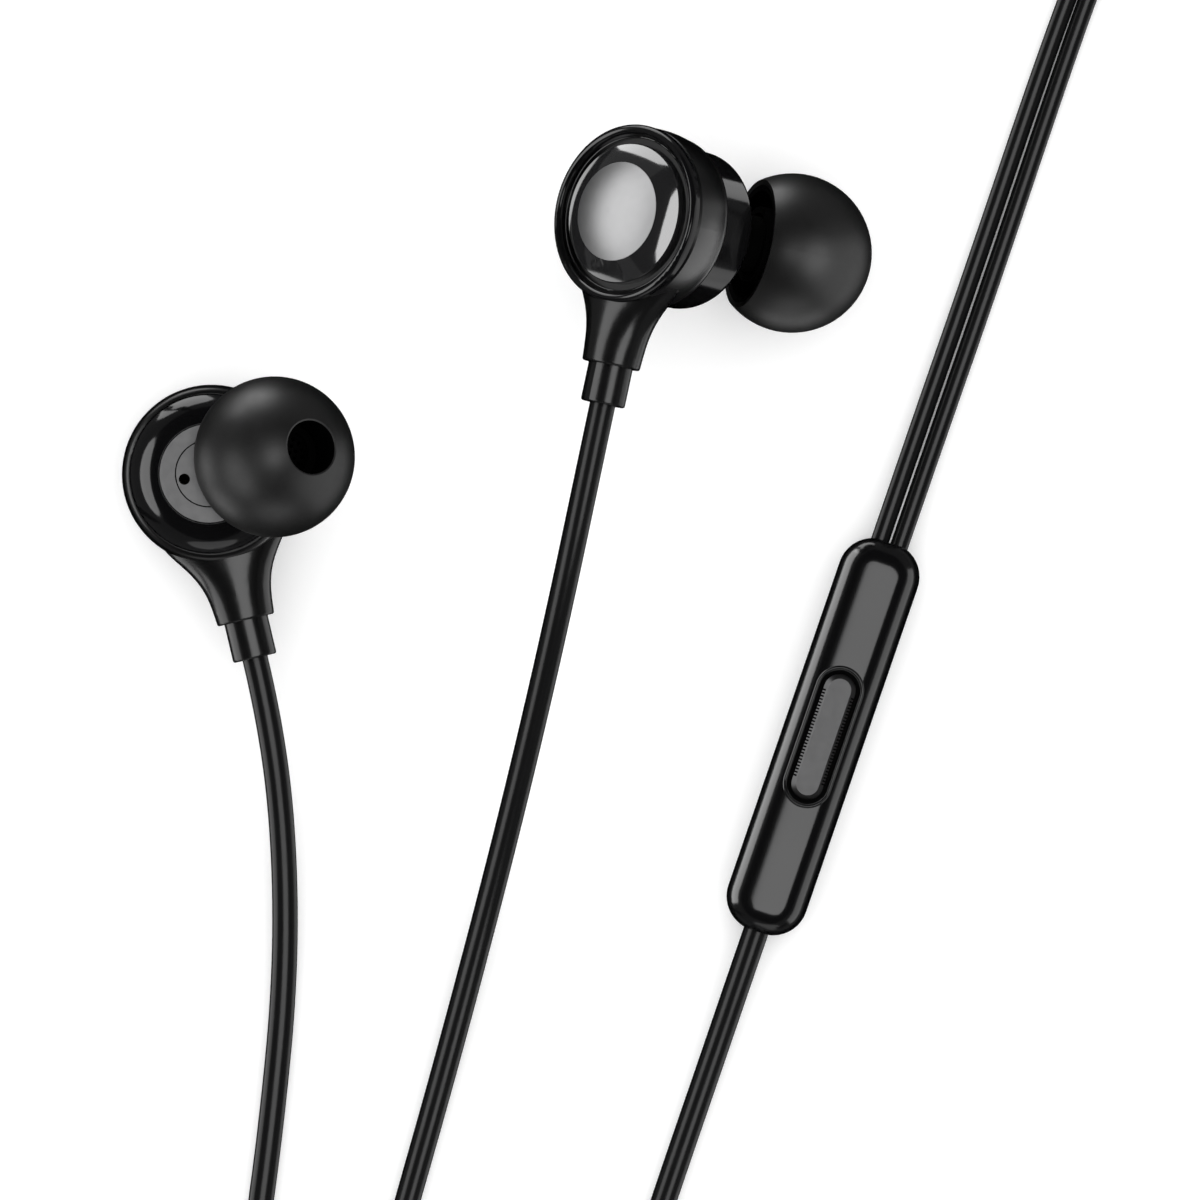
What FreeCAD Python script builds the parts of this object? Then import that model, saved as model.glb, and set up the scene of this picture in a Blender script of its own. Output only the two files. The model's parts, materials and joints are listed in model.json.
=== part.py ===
import FreeCAD, Part
import math
import os

from FreeCAD import Vector

# Wired in-ear earphones lying on a table, in millimetres.
# The origin is on the table, under the middle of the two earbuds and the remote, with +Z up.
# Each earbud is built in its own frame: the origin is the centre of the trim ring's crest, +z runs
# from the cap to the front, -y runs down the stem, and +x is the side that the nozzle leans to.

# ---- Earbud sizes ----
RIM_R = 6.97                # outside of the trim ring
RING_IN_R = 5.95            # inside of the trim ring
RING_H = 0.95               # the trim ring's height, down to the cap's seat
LENS_R = 5.47
LENS_EDGE_H = 0.15          # height where the domed cap's surface meets its edge
DOME_R = 9.7                # radius of the sphere that the cap's surface is part of
DISC_R = 3.87
DISC_BACK = -0.2            # bottom of the cap's recess for the disc
DRUM_END = 4.9              # height of the crease between the rear and front housings
DRUM_WALL_R = 5.9           # inside of the rear housing
FRONT_R = 6.2
FRONT_WALL_R = 5.45         # inside of the front housing
SHOULDER_H = 8.0            # top of the front housing's straight side
FACE_H = 9.78               # height of the metal face plate's outer side
FACE_R = 3.9
FACE_T = 0.35
CAVITY_TOP = 9.05           # inner end of the front housing
SEAM_R = 2.58               # fine turned groove in the face plate
VENT_X = -1.94
VENT_R = 0.43
STEM_H = 2.4                # height of the stem's axis over the rim plane
LEAD_R = 1.0                # the ear cord's radius, and every bore that it goes through
COLLAR_R = 1.73
FLARE_END = 11.65           # distance down the stem from the housing's axis
COLLAR_END = 14.7
MOULDED_EDGE = 0.18         # round edge of the soft mouldings

# Outer outlines as (radius, height), or (point on an arc, end of the arc).
RING_OUTLINE = (
    (RING_IN_R, 0.62), ((6.04, 0.5), (6.13, 0.62)), (6.25, 0.62), (6.25, 0.35), ((6.5, 0.03), (6.62, 0)),
    ((6.88, 0.14), (RIM_R, 0.45)), (RIM_R, 0.75), (6.8, RING_H))
DRUM_OUTLINE = (
    (6.7, RING_H), (6.92, 1.15), ((6.98, 2.5), (6.78, 4.2)), ((6.62, 4.72), (6.28, DRUM_END)))

# ---- Nozzle and ear tip, measured along the nozzle's axis from its pivot ----
PIVOT_H = 6.0
TILT = 31.5                 # degrees between the housing's axis and the nozzle's
NOZZLE_R = 2.2
NOZZLE_BORE_R = 1.6
NOZZLE_START = 3.2
NOZZLE_END = 12.9
BARB_R = 2.45
TIP_BORE_R = 2.5
TIP_COLLAR_R = 3.0
TIP_CENTRE = 10.2
TIP_R = 6.2
TIP_SKIN = 0.75
TIP_BACK = 6.65             # plane of the open back rim
TIP_HOLE_R = 2.08

# ---- Driver ----
YOKE_R = 3.2
YOKE_BACK = 3.0
YOKE_TOP = 5.3
MAGNET_R = 2.0
MAGNET_BACK = 3.5
PLATE_R = 2.2
PLATE_BACK = 4.8
COIL_IN_R = 2.35
COIL_OUT_R = 2.55
GAP_OUT_R = 2.7
CONE_R = 4.7
CONE_T = 0.12

# ---- Placements on the table ----
LEFT_PLACE = Vector(-24.13, 4.38, 1.54)
LEFT_FRONT = Vector(0, 0, 1)
LEFT_STEM = Vector(0.230, -0.973, 0)
RIGHT_PLACE = Vector(7.85, 24.44, 14.14)
RIGHT_FRONT = Vector(0.622, -0.1425, -0.770)
RIGHT_STEM = Vector(-0.207, -0.978, 0.0138)

# ---- Remote: local x across, y along, z up from its flat back ----
REMOTE_PLACE = Vector(23.49, -16.05, 0)
REMOTE_TURN = -19.0         # degrees about Z
REMOTE_W = 6.4
REMOTE_L = 32.1
REMOTE_T = 4.8
CROWN_R = 12.0
REMOTE_WALL = 0.8
REMOTE_SPLIT = 1.9
REMOTE_EXIT_H = 1.9         # height of the cord exits
BOARD_BACK = 1.5
BOARD_TOP = 2.1
SLOT_L = 10.9
SLOT_W = 3.2
SLOT_EDGE = 0.14            # round edge of the slot
BUTTON_L = 10.2
BUTTON_W = 2.5
BUTTON_TOP = 5.0
BUTTON_BEVEL = 0.36
KNURL_PITCH = 0.26
KNURL_COUNT = 28
FLANGE_L = 12.0
FLANGE_W = 3.7
FLANGE_BACK = 3.55
FLANGE_TOP = 3.9
PLUNGER_R = 0.7
PLUNGER_FIT = 0.08
PLUNGER_BACK = 2.75
PLUNGER_TOP = 3.2
SWITCH_TOP = 2.8
MIC_Y = -9.0

# ---- Splitter: a flat Y-joint with its inputs at the high end of y ----
SPLIT_X = 58.2
SPLIT_TOP_Y = -4.0
SPLIT_L = 14.0
SPLIT_W = 7.4
SPLIT_T = 4.6

# ---- Cords ----
EAR_CORD_D = 2.0
STRAND_D = 1.44
MAIN_CORD_D = 2.2
RING_CENTRE = Vector(45, -71.5, 0)
RING_MID_R = 13.0
RING_HALF_W = 4.6
RING_LOW = 0.4
RING_HIGH = 6.5
TIE_T = 0.4
TIE_W = 4.0

# ---- Plug: 3.5 mm, four contacts, lying on the coil and pointing along -Y ----
PLUG_START = Vector(54.05, -65.9, 9.0)
BOOT_L = 6.0
GRIP_L = 12.0
GRIP_R = 2.5
PIN_R = 1.75
PIN_CORE_R = 0.5

# Control points of each cord's route, from its exit on.
LEFT_EAR_ROUTE = [
    (-20.75, -9.93, 3.94), (-19.48, -15.27, 3.94), (-18.5, -24.4, 2.0), (-18.45, -34.8, 1.0),
    (-19.5, -46.0, 1.0), (-21.0, -57.0, 1.0), (-21.4, -68.0, 1.0), (-16.8, -79.5, 1.0),
    (-4.0, -88.2, 1.0), (12.0, -91.6, 1.0), (30.0, -91.5, 1.0), (48.0, -92.2, 1.0),
    (62.5, -88.2, 1.0), (71.3, -76.5, 1.0), (72.5, -58.0, 1.0), (71.2, -40.0, 1.0),
    (72.2, -24.0, 1.0), (71.6, -14.0, 1.0), (72.3, -6.0, 1.0), (72.65, 1.2, 1.15), (68.9, 5.1, 1.5),
    (63.5, 5.2, 1.9), (59.65, 1.3, 2.3), (59.65, -4.0, 2.3)]
RIGHT_EAR_ROUTE = [
    (6.3, 9.71, 12.5), (5.14, 4.23, 12.58), (3.3, -4.5, 10.8), (1.2, -13.8, 7.3),
    (-1.1, -23.3, 4.0), (-3.6, -33.0, 1.7), (-6.4, -43.4, 1.0), (-9.3, -53.6, 1.0),
    (-11.4, -61.2, 1.0), (-7.9, -68.0, 1.0), (-0.6, -70.6, 1.0), (6.0, -66.8, 1.0),
    (8.7, -59.4, 1.0), (11.7, -50.4, 1.0), (14.8, -41.4, 1.0), (17.35, -33.87, 1.9), (18.39, -30.85, 1.9)]
STRAND_A_ROUTE = [
    (27.85, -1.0, 1.9), (28.83, 1.84, 1.9), (31.2, 8.7, 1.0), (35.2, 20.15, 0.72),
    (40.95, 37.2, 0.72), (44.5, 46.6, 0.72), (50.2, 50.2, 0.72), (56.0, 48.6, 0.72),
    (58.9, 42.6, 0.72), (58.6, 32.0, 0.72), (57.4, 21.0, 0.72), (58.1, 10.0, 1.1), (57.7, 2.4, 2.3),
    (57.7, -4.0, 2.3)]
STRAND_B_ROUTE = [
    (29.32, -1.5, 1.9), (30.3, 1.33, 1.9), (32.7, 8.2, 1.0), (36.7, 19.65, 0.72),
    (42.4, 36.65, 0.72), (45.6, 45.5, 0.72), (50.3, 48.55, 0.72), (55.0, 47.3, 0.72),
    (57.3, 42.4, 0.72), (57.04, 32.0, 0.72), (55.84, 21.0, 0.72), (56.54, 10.0, 1.1), (56.14, 2.4, 2.3),
    (56.14, -4.0, 2.3)]
MAIN_ROUTE = [
    (58.2, -18.0, 2.3), (58.2, -24.0, 2.3), (59.6, -35.0, 1.1), (59.2, -48.0, 1.1),
    (60.9, -58.0, 1.3), (61.4, -66.5, 1.5)]
TAIL_ROUTE = [
    (38.0, -63.0, 5.3), (40.2, -60.8, 6.4), (44.3, -56.7, 7.7), (50.0, -56.7, 8.4),
    (54.05, -60.55, 9.0), (54.05, -65.9, 9.0)]


# ---- General shapes ----
def outline(start, *steps):
    """A closed wire in the x-z plane: a step is an end point, or (point on the arc, end point)."""
    edges = []
    here = start
    for step in steps + (start,):
        if isinstance(step[0], tuple):
            middle, end = step
            edges.append(Part.Arc(*[Vector(r, 0, z) for r, z in (here, middle, end)]).toShape())
        else:
            end = step
            edges.append(Part.makeLine(Vector(here[0], 0, here[1]), Vector(end[0], 0, end[1])))
        here = end
    return Part.Wire(edges)


def turned(start, *steps):
    """The solid that the outline makes when it turns about the z axis."""
    return Part.Face(outline(start, *steps)).revolve(Vector(0, 0, 0), Vector(0, 0, 1), 360)


def ring(inner, outer, low, high):
    """A plain tube about the z axis, or a disc where the inner radius is zero."""
    body = Part.makeCylinder(outer, high - low, Vector(0, 0, low))
    if inner == 0:
        return body
    return body.cut(Part.makeCylinder(inner, high - low, Vector(0, 0, low)))


def stadium(length, width, low, high):
    """A bar along y with half-round ends."""
    straight = length - width
    bar = Part.makeBox(width, straight, high - low, Vector(-width / 2, -straight / 2, low))
    ends = []
    for y in (-straight / 2, straight / 2):
        ends.append(Part.makeCylinder(width / 2, high - low, Vector(0, y, low)))
    return bar.fuse(ends).removeSplitter()


def block(size, centre_low):
    """A box of the given size, centred in x and y over the point centre_low."""
    corner = centre_low - Vector(size[0] / 2, size[1] / 2, 0)
    return Part.makeBox(size[0], size[1], size[2], corner)


def stem_cylinder(radius, start, end):
    """A cylinder along the stem's axis, between two distances from the housing's axis."""
    return Part.makeCylinder(radius, end - start, Vector(0, -start, STEM_H), Vector(0, -1, 0))


def on_nozzle(shape):
    """Moves a shape made about the z axis to the nozzle's axis."""
    shape.rotate(Vector(0, 0, 0), Vector(0, 1, 0), TILT)
    shape.translate(Vector(0, 0, PIVOT_H))
    return shape


# ---- Earbud pieces, in the earbud's frame ----
def drum_envelope():
    """The rear housing and trim ring without their hollows."""
    return turned((0, 0), (RING_IN_R, 0), *RING_OUTLINE, *DRUM_OUTLINE, (0, DRUM_END))


def rear_housing():
    floor_top = 1.3
    cup = turned(
        (0, RING_H), *DRUM_OUTLINE, (DRUM_WALL_R, DRUM_END), (DRUM_WALL_R, floor_top), (0, floor_top))
    return cup.cut(stem_cylinder(LEAD_R, 5, 8))


def trim_ring():
    return turned((RING_IN_R, RING_H), *RING_OUTLINE)


def dome_point(r):
    """The point on the domed cap's surface at distance r from the axis."""
    centre_h = LENS_EDGE_H + math.sqrt(DOME_R * DOME_R - LENS_R * LENS_R)
    return (r, centre_h - math.sqrt(DOME_R * DOME_R - r * r))


def cap_lens():
    """The gloss cap, with a recess for the disc and a small round edge."""
    edge = LENS_R - 0.08
    dome = (dome_point(4.6), dome_point(edge))
    return turned(
        (0, RING_H), (0, DISC_BACK), (DISC_R, DISC_BACK), dome_point(DISC_R), dome,
        (LENS_R, LENS_EDGE_H + 0.07), (LENS_R, RING_H))


def cap_disc():
    """The metal disc, which carries on the cap's dome."""
    edge = DISC_R - 0.02
    near_axis = dome_point(0.15)
    dome = (dome_point(2.0), near_axis)
    return turned((0, DISC_BACK), (edge, DISC_BACK), dome_point(edge), dome, (0, near_axis[1]))


def nozzle_bore():
    return on_nozzle(Part.makeCylinder(NOZZLE_R, NOZZLE_END, Vector(0, 0, 1)))


def vent():
    return Part.makeCylinder(VENT_R, 2, Vector(VENT_X, 0, CAVITY_TOP - 0.5))


def front_housing():
    """A straight side, a small round shoulder and a shallow dome that ends at the face plate."""
    lip_low = DRUM_END - 0.6
    plate_seat = FACE_H - FACE_T
    shell = turned(
        (FRONT_WALL_R, lip_low), (DRUM_WALL_R, lip_low), (DRUM_WALL_R, DRUM_END), (FRONT_R, DRUM_END),
        (FRONT_R, SHOULDER_H), ((6.17, 8.24), (6.08, 8.45)), ((5.16, 9.36), (FACE_R + 0.02, FACE_H + 0.03)),
        (FACE_R + 0.02, plate_seat), (0, plate_seat), (0, CAVITY_TOP), (3.6, CAVITY_TOP),
        ((4.85, 8.45), (FRONT_WALL_R, 7.4)))
    return shell.cut([nozzle_bore(), vent()])


def face_plate():
    seam_w = 0.05
    seam_low = FACE_H - 0.06
    bevel = 0.1
    plate = turned(
        (0, FACE_H - FACE_T), (FACE_R, FACE_H - FACE_T), (FACE_R, FACE_H - bevel),
        (FACE_R - bevel, FACE_H), (0, FACE_H))
    seam = ring(SEAM_R - seam_w, SEAM_R + seam_w, seam_low, FACE_H)
    return plate.cut([seam, nozzle_bore(), vent()])


def nozzle():
    return on_nozzle(turned(
        (NOZZLE_BORE_R, NOZZLE_START), (NOZZLE_R, NOZZLE_START), (NOZZLE_R, 10.4), (BARB_R, 10.8),
        (BARB_R, 11.2), (NOZZLE_R, 12.2), (NOZZLE_R, NOZZLE_END), (NOZZLE_BORE_R, NOZZLE_END)))


def nozzle_mesh():
    low = NOZZLE_END - 0.45
    disc = Part.makeCylinder(NOZZLE_BORE_R, 0.2, Vector(0, 0, low))
    holes = []
    for circle_r, count in ((0, 1), (0.55, 6), (1.1, 12)):
        for index in range(count):
            angle = 2 * math.pi * index / count
            spot = Vector(circle_r * math.cos(angle), circle_r * math.sin(angle), low)
            holes.append(Part.makeCylinder(0.17, 0.2, spot))
    return on_nozzle(disc.cut(holes))


def sphere_at(radius, r):
    """Height on the ear tip's sphere of the given radius, at distance r from the axis."""
    return math.sqrt(radius * radius - r * r)


def ear_tip():
    inner_r = TIP_R - TIP_SKIN
    rim_r = sphere_at(TIP_R, TIP_CENTRE - TIP_BACK)
    skin_end = sphere_at(inner_r, TIP_CENTRE - TIP_BACK - 0.15)
    join_r = 3.4
    lip_r = TIP_HOLE_R + 0.12
    neck = NOZZLE_END + 0.1
    return on_nozzle(turned(
        (TIP_HOLE_R, TIP_CENTRE + 5.75), (lip_r, TIP_CENTRE + sphere_at(TIP_R, lip_r)),
        ((TIP_R, TIP_CENTRE), (rim_r, TIP_BACK)), (skin_end, TIP_BACK + 0.15),
        ((inner_r, TIP_CENTRE), (join_r, TIP_CENTRE + sphere_at(inner_r, join_r))),
        (TIP_COLLAR_R, 13.9), (TIP_COLLAR_R, TIP_BACK + 0.2), (TIP_BORE_R, TIP_BACK + 0.2),
        (TIP_BORE_R, neck), (TIP_HOLE_R, neck + 0.3)))


def driver_frame():
    return turned(
        (YOKE_R, 3.4), (5.4, 3.4), (5.4, 6.5), (4.95, 6.5), (4.95, 4.0), (YOKE_R, 4.0))


def yoke():
    return turned(
        (0, YOKE_BACK), (YOKE_R, YOKE_BACK), (YOKE_R, YOKE_TOP), (GAP_OUT_R, YOKE_TOP),
        (GAP_OUT_R, MAGNET_BACK), (0, MAGNET_BACK))


def magnet():
    return ring(0, MAGNET_R, MAGNET_BACK, PLATE_BACK)


def top_plate():
    return ring(0, PLATE_R, PLATE_BACK, YOKE_TOP)


def voice_coil():
    return ring(COIL_IN_R, COIL_OUT_R, 4.4, 6.2)


def diaphragm():
    """A shallow dome and a half-roll surround, glued to the top of the voice coil."""
    step = CONE_T
    return turned(
        (0, 6.7), (0.9, 6.7), ((1.7, 6.54), (2.45, 6.2)), ((3.6, 6.6), (CONE_R, 6.2)), (CONE_R, 6.2 + step),
        ((3.6, 6.6 + step), (2.45, 6.2 + step)), ((1.7, 6.54 + step), (0.9, 6.7 + step)), (0, 6.7 + step))


def terminal_board():
    return ring(0, 2.4, YOKE_BACK - 0.4, YOKE_BACK)


def far_edges(shape, distance):
    """The edges that lie at the given distance down the stem."""
    return [edge for edge in shape.Edges if edge.BoundBox.YMax < 0.01 - distance]


def stem_flare():
    """The soft moulded strain relief, from the drum's width down to a round end."""
    sections = []
    for distance, half_w, half_h in (
            (5.0, 4.9, 2.2), (6.5, 3.9, 2.28), (8.0, 3.0, 2.3), (9.9, 2.44, 2.3), (FLARE_END, 2.26, 2.25)):
        centre = Vector(0, -distance, STEM_H)
        ellipse = Part.Ellipse(centre + Vector(half_w, 0, 0), centre + Vector(0, 0, half_h), centre)
        sections.append(Part.Wire(ellipse.toShape()))
    body = Part.makeLoft(sections, True)
    body = body.makeFillet(MOULDED_EDGE, far_edges(body, FLARE_END))
    trimmed = body.cut([drum_envelope(), stem_cylinder(LEAD_R, 4, FLARE_END)])
    return max(trimmed.Solids, key=lambda solid: solid.Volume)


def cord_collar():
    sleeve = stem_cylinder(COLLAR_R, FLARE_END, COLLAR_END)
    sleeve = sleeve.makeFillet(MOULDED_EDGE, far_edges(sleeve, COLLAR_END))
    return sleeve.cut(stem_cylinder(LEAD_R, FLARE_END, COLLAR_END))


def cord_knot():
    """The end of the ear cord inside the stem, with the knot that keeps it there."""
    lead = stem_cylinder(LEAD_R, 5.0, COLLAR_END)
    knot = block((3.4, 1.7, 1.9), Vector(0, -4.35, 1.42))
    return lead.fuse(knot).removeSplitter()


EARBUD_PIECES = {
    "rear_housing": rear_housing, "trim_ring": trim_ring, "cap_lens": cap_lens, "cap_disc": cap_disc,
    "front_housing": front_housing, "face_plate": face_plate, "nozzle": nozzle,
    "nozzle_mesh": nozzle_mesh, "ear_tip": ear_tip, "driver_frame": driver_frame, "yoke": yoke,
    "magnet": magnet, "top_plate": top_plate, "voice_coil": voice_coil, "diaphragm": diaphragm,
    "terminal_board": terminal_board, "stem_flare": stem_flare, "cord_collar": cord_collar,
    "cord_knot": cord_knot}


def place_left(shape):
    across = LEFT_STEM.cross(LEFT_FRONT) * -1
    turn = FreeCAD.Rotation(across, LEFT_STEM * -1, LEFT_FRONT, "ZYX")
    shape.Placement = FreeCAD.Placement(LEFT_PLACE, turn).multiply(shape.Placement)
    return shape


def place_right(shape):
    """The right earbud is the mirror image of the left."""
    mirrored = shape.mirror(Vector(0, 0, 0), Vector(1, 0, 0))
    across = RIGHT_STEM.cross(RIGHT_FRONT) * -1
    turn = FreeCAD.Rotation(across, RIGHT_STEM * -1, RIGHT_FRONT, "ZYX")
    mirrored.Placement = FreeCAD.Placement(RIGHT_PLACE, turn).multiply(mirrored.Placement)
    return mirrored


# ---- Remote pieces ----
def remote_body():
    """A bar with a crowned front and rounded all round."""
    crown = Part.makeCylinder(
        CROWN_R, REMOTE_L, Vector(0, -REMOTE_L / 2, REMOTE_T - CROWN_R), Vector(0, 1, 0))
    body = block((REMOTE_W, REMOTE_L, REMOTE_T), Vector(0, 0, 0)).common(crown)
    upright = [e for e in body.Edges if abs(e.Vertexes[0].Z - e.Vertexes[-1].Z) > REMOTE_T / 2]
    body = body.makeFillet(2.7, upright)
    front = [e for e in body.Edges if e.BoundBox.ZMin > REMOTE_T / 2]
    body = body.makeFillet(1.9, front)
    back = [e for e in body.Edges if e.BoundBox.ZMax < 0.01]
    return body.makeFillet(1.1, back)


def slot_edges(front):
    """The outer edges of the slot that the button shows in."""
    near = 0.05
    chosen = []
    for edge in front.Edges:
        box = edge.BoundBox
        inside = max(box.XMax, -box.XMin) < SLOT_W / 2 + near and max(box.YMax, -box.YMin) < SLOT_L / 2 + near
        if inside and box.ZMin > REMOTE_T - 2 * REMOTE_WALL / 3 and box.DiagonalLength > near:
            chosen.append(edge)
    return chosen


def remote_shells():
    """The front and back halves, hollow, with a shallow scoop where each cord goes in."""
    hollow_size = (REMOTE_W - 2 * REMOTE_WALL, REMOTE_L - 3.2, REMOTE_T - 2 * REMOTE_WALL)
    hollow = block(hollow_size, Vector(0, 0, REMOTE_WALL))
    hollow = hollow.makeFillet(0.7, hollow.Edges)
    scoops = []
    for end, half_w in ((1, 1.62), (-1, 1.1)):
        inner = end * (REMOTE_L / 2 - 0.4)
        reach = block((2 * half_w, 2, REMOTE_T), Vector(0, inner + end, -1))
        bore_start = Vector(0, inner - end, REMOTE_EXIT_H)
        scoops.append(reach.common(Part.makeCylinder(half_w, 3, bore_start, Vector(0, end, 0))))
    body = remote_body().cut([hollow] + scoops)
    low = block((20, 60, REMOTE_SPLIT), Vector(0, 0, 0))
    front = body.cut(low)
    front = front.cut(stadium(SLOT_L, SLOT_W, REMOTE_SPLIT, REMOTE_T))
    front = front.makeFillet(SLOT_EDGE, slot_edges(front))
    back = body.common(low)
    mic_hole = Part.makeCylinder(0.4, REMOTE_WALL, Vector(0, MIC_Y, 0))
    return front, back.cut(mic_hole)


def button():
    """The bar that shows in the slot, with a knurled bevel, and the flange that keeps it in."""
    bar = stadium(BUTTON_L, BUTTON_W, FLANGE_BACK, BUTTON_TOP)
    bar = bar.makeChamfer(BUTTON_BEVEL, [e for e in bar.Edges if e.BoundBox.ZMin > BUTTON_TOP - 0.01])
    notches = []
    for index in range(KNURL_COUNT):
        y = (index - (KNURL_COUNT - 1) / 2) * KNURL_PITCH
        for side in (-1, 1):
            corner = Vector(side * (BUTTON_W / 2 - 0.08), y, BUTTON_TOP - BUTTON_BEVEL - 0.09)
            notches.append(block((0.3, KNURL_PITCH / 2, 0.6), corner))
    flange = stadium(FLANGE_L, FLANGE_W, FLANGE_BACK, FLANGE_TOP)
    foot = Part.makeCylinder(0.8, FLANGE_BACK - PLUNGER_TOP, Vector(0, 0, PLUNGER_TOP))
    return bar.cut(notches).fuse([flange, foot]).removeSplitter()


def switch_body():
    can = block((3.0, 2.6, SWITCH_TOP - BOARD_TOP), Vector(0, 0, BOARD_TOP))
    return can.cut(Part.makeCylinder(PLUNGER_R + PLUNGER_FIT, 1, Vector(0, 0, BOARD_TOP + 0.2)))


def switch_plunger():
    return Part.makeCylinder(PLUNGER_R, PLUNGER_TOP - PLUNGER_BACK, Vector(0, 0, PLUNGER_BACK))


def circuit_board():
    return block((4.2, 26, BOARD_TOP - BOARD_BACK), Vector(0, 0, BOARD_BACK))


def microphone():
    """A small can against the back wall, over its sound hole."""
    gap = 0.02
    return block((3.0, 2.2, BOARD_BACK - REMOTE_WALL - gap), Vector(0, MIC_Y, REMOTE_WALL + gap))


def place_remote(shape):
    turn = FreeCAD.Rotation(Vector(0, 0, 1), REMOTE_TURN)
    shape.Placement = FreeCAD.Placement(REMOTE_PLACE, turn).multiply(shape.Placement)
    return shape


# ---- Splitter, plug and coil ----
def splitter_shells():
    """Two halves of a flat joint, tapered towards the main cord."""
    taper = 1.6
    half = SPLIT_W / 2
    low_y = SPLIT_TOP_Y - SPLIT_L
    corners = [(-half, SPLIT_TOP_Y), (half, SPLIT_TOP_Y), (half, low_y + 5), (half - taper, low_y),
               (taper - half, low_y), (-half, low_y + 5)]
    points = [Vector(SPLIT_X + x, y, 0) for x, y in corners]
    body = Part.Face(Part.makePolygon(points + points[:1])).extrude(Vector(0, 0, SPLIT_T))
    body = body.makeFillet(0.9, body.Edges)
    middle = SPLIT_T / 2
    back = block((40, 60, middle), Vector(SPLIT_X, SPLIT_TOP_Y, 0))
    return body.cut(back), body.common(back)


def along_plug(shape):
    """Turns a shape made about the z axis to lie along -Y from the start of the plug."""
    shape.rotate(Vector(0, 0, 0), Vector(1, 0, 0), 90)
    shape.translate(PLUG_START)
    return shape


def plug_pieces():
    """Contacts and insulators in a row, as (name, solids), with the tip's stem through them all."""
    pin = BOOT_L + GRIP_L
    sleeve_end = pin + 5.2
    spans = [(sleeve_end + step, sleeve_end + step + 0.6) for step in (0, 2.2, 4.4)]
    ring_spans = [(spans[0][1], spans[1][0]), (spans[1][1], spans[2][0])]
    tip_low = spans[2][1]
    tip = turned(
        (0, pin), (PIN_CORE_R, pin), (PIN_CORE_R, tip_low), (PIN_R, tip_low), (PIN_R, tip_low + 0.5),
        ((1.3, tip_low + 1.0), (1.45, tip_low + 1.5)), (PIN_R, tip_low + 2.0), (PIN_R, tip_low + 2.3),
        ((1.3, tip_low + 3.2), (0.5, tip_low + 3.7)), (0, tip_low + 3.8))
    grip = turned(
        (0, 0), (1.45, 0), (1.65, 0.3), ((1.75, 3), (2.1, BOOT_L)), (GRIP_R - 0.25, BOOT_L),
        (GRIP_R, BOOT_L + 0.3), (GRIP_R, pin - 0.6), ((GRIP_R - 0.15, pin - 0.15), (GRIP_R - 0.5, pin)),
        (0, pin))
    return [
        ("plug_grip", grip),
        ("plug_sleeve", ring(PIN_CORE_R, PIN_R, pin, sleeve_end)),
        ("plug_insulators", Part.makeCompound([ring(PIN_CORE_R, PIN_R, *span) for span in spans])),
        ("plug_rings", Part.makeCompound([ring(PIN_CORE_R, PIN_R, *span) for span in ring_spans])),
        ("plug_tip", tip)]


def main_cord_coil():
    """The outer shape of the coiled main cord."""
    inner = RING_MID_R - RING_HALF_W
    outer = RING_MID_R + RING_HALF_W
    edge = 1.1
    coil = turned(
        (inner, RING_LOW + edge), (inner + edge, RING_LOW), (outer - edge, RING_LOW),
        (outer, RING_LOW + edge), (outer, RING_HIGH - edge), (outer - edge, RING_HIGH),
        (inner + edge, RING_HIGH), (inner, RING_HIGH - edge))
    coil.translate(RING_CENTRE)
    return coil


def coil_tie():
    """A soft strap round the coil's turns, on the side away from the splitter."""
    deep = 2 * RING_HALF_W
    tall = RING_HIGH - RING_LOW
    centre = RING_CENTRE + Vector(-RING_MID_R, 0, 0)
    outer = block((deep + 2 * TIE_T, TIE_W, tall + 2 * TIE_T), centre + Vector(0, 0, RING_LOW - TIE_T))
    along = [e for e in outer.Edges if abs(e.Vertexes[0].Y - e.Vertexes[-1].Y) > TIE_W / 2]
    outer = outer.makeFillet(1.2, along)
    return outer.cut(main_cord_coil())


# ---- Cord tubes ----
def tube(route, diameter):
    """Straight runs joined by tangent arcs, each as large as its two runs allow."""
    points = [Vector(*point) for point in route]
    edges = []
    radii = []
    here = points[0]
    for before, corner, after in zip(points, points[1:], points[2:]):
        arriving = corner - before
        leaving = after - corner
        trim = 0.45 * min(arriving.Length, leaving.Length)
        half_turn = arriving.getAngle(leaving) / 2
        radius = trim / math.tan(half_turn)
        arriving.normalize()
        leaving.normalize()
        start = corner - arriving * trim
        end = corner + leaving * trim
        inward = leaving - arriving
        inward.normalize()
        middle = corner + inward * (radius / math.cos(half_turn) - radius)
        edges.append(Part.LineSegment(here, start).toShape())
        edges.append(Part.Arc(start, middle, end).toShape())
        radii.append(round(radius, 1))
        here = end
    edges.append(Part.LineSegment(here, points[-1]).toShape())
    path = Part.Wire(edges)
    first = points[1] - points[0]
    section = Part.Wire(Part.makeCircle(diameter / 2, points[0], first))
    swept = path.makePipeShell([section], True, False)
    expected = math.pi * diameter * diameter / 4 * path.Length
    return swept, path.Length, radii, swept.Volume / expected


CORDS = {
    "left_ear_cord": (LEFT_EAR_ROUTE, EAR_CORD_D), "right_ear_cord": (RIGHT_EAR_ROUTE, EAR_CORD_D),
    "right_strand_a": (STRAND_A_ROUTE, STRAND_D), "right_strand_b": (STRAND_B_ROUTE, STRAND_D),
    "main_cord": (MAIN_ROUTE, MAIN_CORD_D), "main_cord_tail": (TAIL_ROUTE, MAIN_CORD_D)}


def save(name, shape):
    shape.exportStep(f"parts/{name}.step")


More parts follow.
